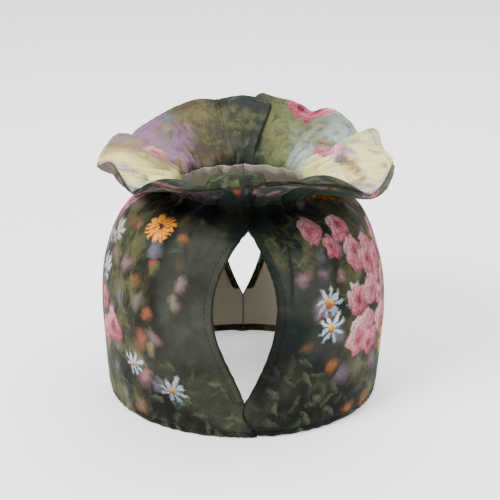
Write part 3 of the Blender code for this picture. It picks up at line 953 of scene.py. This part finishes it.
FRILL_RIGHT_FOLDS = (
    # azimuth, and in mm: rim radius, rim height, bend radius, bend height
    (4, 86.4, 147.3, 70, 147.4),
    (16, 85.5, 146.6, 70, 145.3),
    (25, 85.4, 143.9, 70, 142.4),
    (30, 85.2, 142.4, 69.5, 146.2),
    (37, 85.6, 139.6, 70, 149.2),
    (44, 85.2, 134.8, 74, 144),
    (50, 84.3, 131.2, 79, 133),
    (56, 83.3, 130.1, 84, 123.5),
    (64, 82, 130.6, 87.8, 119.5),
    (76, 81.6, 132.2, 89.5, 120.5),
    (86, 82.4, 132.2, 88.8, 125),
    (95, 85, 132, 76, 133),
    (108, 84.2, 134.5, 68, 137),
    (119, 88.2, 140, 67, 137.5),
    (127, 85.8, 135.4, 66, 133),
    (134, 88.2, 140.2, 67, 137),
    (144, 88.5, 145.5, 66, 140),
    (151, 86.6, 142.8, 65, 136),
    (157, 88.2, 145.5, 66, 138),
    (168, 92, 149.3, 68, 138),
    (173.5, 94.6, 151.1, 68, 138),
    (178, 96.5, 150.8, 68, 137.8),
)
NECK_RISE = 0.0080
NECK_LEAN = 0.0030
FRILL_FRONT_AZIMUTH = 8.0
FRILL_BACK_AZIMUTH = 172.0
LAP_AZIMUTH = 4.0
LAP_FADE_AZIMUTH = 9.0
LAP_STEP = 0.0036
FRONT_TUCK_AZIMUTH = 3.0
FRONT_TUCK_STEP = 0.0011
# Places from the neck, 0, to the rim, 1: where each thing has not begun yet, and where it is full
LAP_BEGINS = (0.0, 0.10)
LAP_WIDENS = (0.10, 1.0)
LAP_LIFTS = (0.03, 0.31)
LAP_OPENS = (0.14, 0.29)
TUCK_BEGINS = (0.36, 0.48)
TUCK_ENDS = (0.90, 0.76)
TUCK_LIFTS = (0.30, 0.45)
TUCK_SETTLES = (1.0, 0.90)
FRONT_OPENS = (0.45, 0.65)
CREASES_BEGIN = (0.0, 0.06)
LAP_AT_NECK = 0.35
FRILL_GATHER_REACH = 0.28
FRILL_CREASES = (
    # azimuth at the neck, azimuth at the rim, half width in degrees, depth in mm, and as shares of the
    # way from neck to rim: where it is deepest, how far it reaches from there
    (-168.0, -170.6, 0.55, 1.6, 0.70, 0.35),
    (-166.8, -168.8, 0.55, 1.4, 0.70, 0.35),
    (-120, -129, 2.2, 3.2, 0.62, 0.35),
    (-152, -157, 2.2, 1.3, 0.40, 0.35),
    (-142, -146, 1.8, -1, 0.35, 0.35),
    (-96, -86, 2.6, 1.4, 0.40, 0.35),
    (-74, -80, 2.4, -1.4, 0.45, 0.35),
    (118, 127, 2.4, 2.6, 0.60, 0.35),
    (142, 151, 2.0, 2.4, 0.60, 0.35),
    (104, 98, 2.2, 1.8, 0.45, 0.35),
    (92, 84, 1.9, -1, 0.40, 0.35),
    (76, 70, 2.6, 1.4, 0.45, 0.35),
    (-112, -112, 1.1, 3.4, 0.26, 0.15),
    (-119, -122, 0.9, -2.6, 0.24, 0.13),
    (-125, -127, 1.1, 3.6, 0.28, 0.16),
    (-132, -134, 0.9, -2.4, 0.25, 0.13),
    (-140, -143, 1.1, 3, 0.28, 0.15),
    (92, 90, 1.1, 3.2, 0.30, 0.15),
    (99, 99, 0.9, -2.6, 0.26, 0.13),
    (105, 106, 1.1, 3.8, 0.28, 0.16),
    (112, 114, 0.9, -2.6, 0.24, 0.13),
    (119, 120, 1.1, 3.4, 0.30, 0.15),
    (127, 129, 1.0, 3, 0.25, 0.13),
    (136, 138, 1.0, -2.6, 0.28, 0.14),
)
FRILL_COLUMNS_A_DEGREE = 2.1
CORNER_RADIUS = 0.0055
FRILL_ROWS = 72
# The cloth's length from neck to rim, and the radii halfway along it and at the rim
FRILL_RUN = 0.055
FRILL_MIDDLE_RADIUS = 0.065
FRILL_RIM_RADIUS = 0.086
FRILL_TUCK_LENGTHS = (0.007, 0.034)
FRILL_TUCK_LEAN = 6.0
FRILL_UNEVENNESS = 0.0005
FRILL_HEM_SHARE = 0.4


def grown(place, begins_and_full):
    """0 before a thing begins, 1 where it is full, on the way from the neck to the rim."""
    begins, full = begins_and_full
    return ease((place - begins) / (full - begins))


def frill_surface(side):
    """Middle of a frill piece's cloth, its normals, half thickness, azimuths and place from neck to rim."""
    back_seam = FRILL_BACK_AZIMUTH if side > 0 else FRILL_BACK_AZIMUTH - 360.0
    t = (stops(FRILL_RUN, FRILL_ROWS, False, True) / FRILL_RUN)[:, None]
    seam_gap = math.degrees(SEAM_GAP / NECK_RADIUS)
    lap = LAP_AZIMUTH * (LAP_AT_NECK * grown(t, LAP_BEGINS) + (1.0 - LAP_AT_NECK) * grown(t, LAP_WIDENS))
    tuck = FRONT_TUCK_AZIMUTH * grown(t, TUCK_BEGINS) * grown(t, TUCK_ENDS) if side > 0 else 0.0 * t
    start = FRILL_FRONT_AZIMUTH + side * (seam_gap - tuck)
    end = back_seam - side * (seam_gap - lap)
    count = int(abs(back_seam - FRILL_FRONT_AZIMUTH) * FRILL_COLUMNS_A_DEGREE)
    length = np.radians(np.abs(end - start))[:, 0] * FRILL_MIDDLE_RADIUS
    across = stops(length, count, True, True)
    azimuths = start + side * np.degrees(across / FRILL_MIDDLE_RADIUS)
    from_sides = np.minimum(across, across[:, -1:] - across)
    into_corner = np.clip(1.0 - from_sides[-1:] / CORNER_RADIUS, 0.0, 1.0)
    t = t * (1.0 - CORNER_RADIUS / FRILL_RUN * (1.0 - np.sqrt(1.0 - into_corner**2)))
    folds = FRILL_RIGHT_FOLDS if side > 0 else FRILL_LEFT_FOLDS
    rim_radius, rim_height, bend_radius, bend_height = (
        along(folds, column, azimuths) / 1000.0 for column in (1, 2, 3, 4))
    neck_radius = NECK_RADIUS - FRILL_THICKNESS / 2
    neck_height = NECK_HEIGHT + SEAM_GAP
    weights = (1 - t) ** 3, 3 * (1 - t) ** 2 * t, 3 * (1 - t) * t * t, t ** 3
    radii = (weights[0] * neck_radius + weights[1] * (neck_radius + NECK_LEAN)
             + weights[2] * bend_radius + weights[3] * rim_radius)
    heights = (weights[0] * neck_height + weights[1] * (neck_height + NECK_RISE)
               + weights[2] * bend_height + weights[3] * rim_height)
    plain = turned(radii, azimuths, heights)
    t = t + 0 * radii
    push = GATHER_HEIGHT * hill(t, FRILL_GATHER_REACH) * gather_wave(azimuths)
    to_neck = t * FRILL_RUN
    tucks = small_tucks(azimuths, to_neck, FRILL_TUCK_LENGTHS, FRILL_TUCK_LEAN)
    push += tucks * (1.0 + 1.5 * ease(t * 7.0))
    push += unevenness(azimuths, to_neck, FRILL_UNEVENNESS) * ease(t * 5.0)
    for neck_azimuth, rim_azimuth, width, depth, deepest, extent in FRILL_CREASES:
        away = apart(azimuths, neck_azimuth + (rim_azimuth - neck_azimuth) * t)
        push += depth / 1000.0 * hill(t - deepest, extent) * grown(t, CREASES_BEGIN) * hill(away, width)
    past_lap = np.abs(azimuths - back_seam) - LAP_AZIMUTH
    lapped = grown(t, LAP_LIFTS) * ease(1.0 - past_lap / LAP_FADE_AZIMUTH)
    push += side * lapped * LAP_STEP / 2
    near_front = ease(1.0 - np.abs(azimuths - FRILL_FRONT_AZIMUTH) / LAP_FADE_AZIMUTH)
    push += side * near_front * grown(t, TUCK_LIFTS) * grown(t, TUCK_SETTLES) * FRONT_TUCK_STEP
    grid = plain + sewn_in(outward(plain, side), azimuths, to_neck) * push[:, :, None]
    grid[0, :, 2] = neck_height
    normal = sewn_in(outward(grid, side), azimuths, to_neck)
    from_rim = (t[-1:] - t) * FRILL_RUN
    near_back = np.abs(azimuths - FRILL_FRONT_AZIMUTH) > 90.0
    joined = 1.0 - np.where(near_back, grown(t, LAP_OPENS), grown(t, FRONT_OPENS))
    edge = np.minimum(from_rim, from_sides + joined * NO_HEM)
    half = FRILL_THICKNESS / 2
    thick = np.minimum(rounded(from_rim, half), rounded(from_sides + joined * SEWN_ROUNDING, half))
    thick *= pressed(to_neck)
    run = np.where(from_rim < from_sides, np.radians(azimuths) * FRILL_RIM_RADIUS, to_neck)
    relief = hem_relief(edge, run) * FRILL_HEM_SHARE
    return grid, normal, thick, relief, azimuths, t, np.minimum(from_rim, from_sides)


def frill_ground(paint, place, cut, back):
    """Inside, cream and blue-grey sides with a dark green front and back; outside, mostly dark."""
    wander = cut.noise(0.03, 3.0, 0.6) * 70.0 - 35.0
    share = (place.part(0) + wander + 274.0) / 548.0
    inner = ramp(paint, share, (0.05, 30, 36, 31), (0.11, 68, 58, 44), (0.17, 112, 84, 112),
                 (0.22, 118, 106, 72), (0.27, 204, 188, 126), (0.325, 212, 198, 144),
                 (0.36, 142, 154, 152), (0.64, 136, 106, 150), (0.68, 190, 170, 150),
                 (0.72, 210, 194, 138), (0.78, 206, 192, 140), (0.83, 134, 148, 146),
                 (0.89, 88, 90, 58), (0.95, 34, 42, 34))
    fine = cut.noise(0.11, 4.0, 0.62)
    tint = ramp(paint, cut.noise(0.06, 2.0, 0.5), (0.36, 134, 104, 158), (0.46, 238, 224, 168),
                (0.60, 144, 168, 184))
    washed = tint.vector("MULTIPLY", inner.vector("ADD", (0.08, 0.08, 0.08)).vector("SCALE", scale=1.25))
    inner = (fine.between(0.40, 0.75) * 0.5).over(inner, washed)
    streaks = cut.vector("MULTIPLY", (1.0, 0.28, 0.0)).noise(0.16, 3.0, 0.6)
    greener = inner.vector("MULTIPLY", (0.74, 0.90, 0.52)).vector("ADD", (0.012, 0.010, 0.004))
    inner = (streaks.between(0.48, 0.62) * 0.6).over(inner, greener)
    lilac = patchy(place, ((102, 194, 22, 13), (-122, 186, 13, 20), (150, 172, 12, 9)))
    inner = (lilac * fine.between(0.30, 0.62) * 0.85).over(inner, rgb(128, 98, 146))
    shade = ramp(paint, fine, (0.36, 14, 19, 14), (0.54, 32, 38, 24), (0.72, 66, 70, 44))
    ahead = place.part(0).maths("ABSOLUTE") + (fine - 0.5) * 34.0
    inner = ahead.between(76.0, 60.0).over(inner, shade)
    outer = ramp(paint, share, (0.10, 60, 64, 50), (0.25, 84, 66, 78), (0.37, 48, 34, 40),
                 (0.46, 22, 32, 29), (0.58, 24, 34, 28), (0.66, 44, 56, 46),
                 (0.75, 112, 122, 104), (0.90, 64, 68, 50))
    outer = outer.vector("SCALE", scale=fine * 1.5 + 0.25)
    return back.over(outer, inner)


FRILL_PATCHES = {
    "pink": ((206, 206, 20, 16), (170, 172, 16, 8), (-48, 208, 10, 8), (-168, 172, 12, 7),
             (640, 200, 18, 13), (772, 196, 26, 22)),
    "orange": ((-206, 178, 13, 9), (350, 196, 26, 24), (724, 206, 20, 14)),
    "star": ((-206, 212, 18, 10), (400, 204, 20, 16), (236, 180, 12, 8)),
    "far": ((170, 190, 50, 30), (-180, 195, 60, 40), (96, 178, 16, 12), (560, 195, 300, 40)),
    "leaf": ((206, 176, 50, 16), (-226, 180, 40, 16), (-100, 170, 26, 6), (126, 169, 34, 6),
             (450, 190, 44, 30), (708, 196, 60, 34)),
    "shade": ((0, 190, 60, 40), (560, 190, 90, 40)),
    "outer_start": 560.0,
}
# Millimetres of print from neck to rim, a little more than the gathered cloth's own run
FRILL_CUT_LENGTH = 62.0
panel_length = section_at(np.zeros(1))[2] * 1000.0

frill_print = printed_cloth("frill_print", frill_ground, FRILL_PATCHES, 780.0)
for name, side in (("frill_left", -1), ("frill_right", 1)):
    middle, normal, thick, relief, azimuths, t, from_edge = frill_surface(side)
    cut = np.stack([azimuths * CLOTH_A_DEGREE, panel_length + t * FRILL_CUT_LENGTH, 0.0 * t], axis=-1)
    cut_back = cut + np.array([0.0, 0.0, 1.0])
    piece = closed_sheet(name + "_cloth", middle, normal, thick, relief, cut, cut_back, from_edge, side < 0)
    piece.data.materials.append(frill_print)
    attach(piece, "root")
    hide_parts(name)
    lines = list(on_both_faces(middle, normal, thick + relief, [(-GROOVE - 1, slice(GROOVE, -GROOVE))]))
    stitched(name + "_stitches", lines, rows_of_stitches, thread)
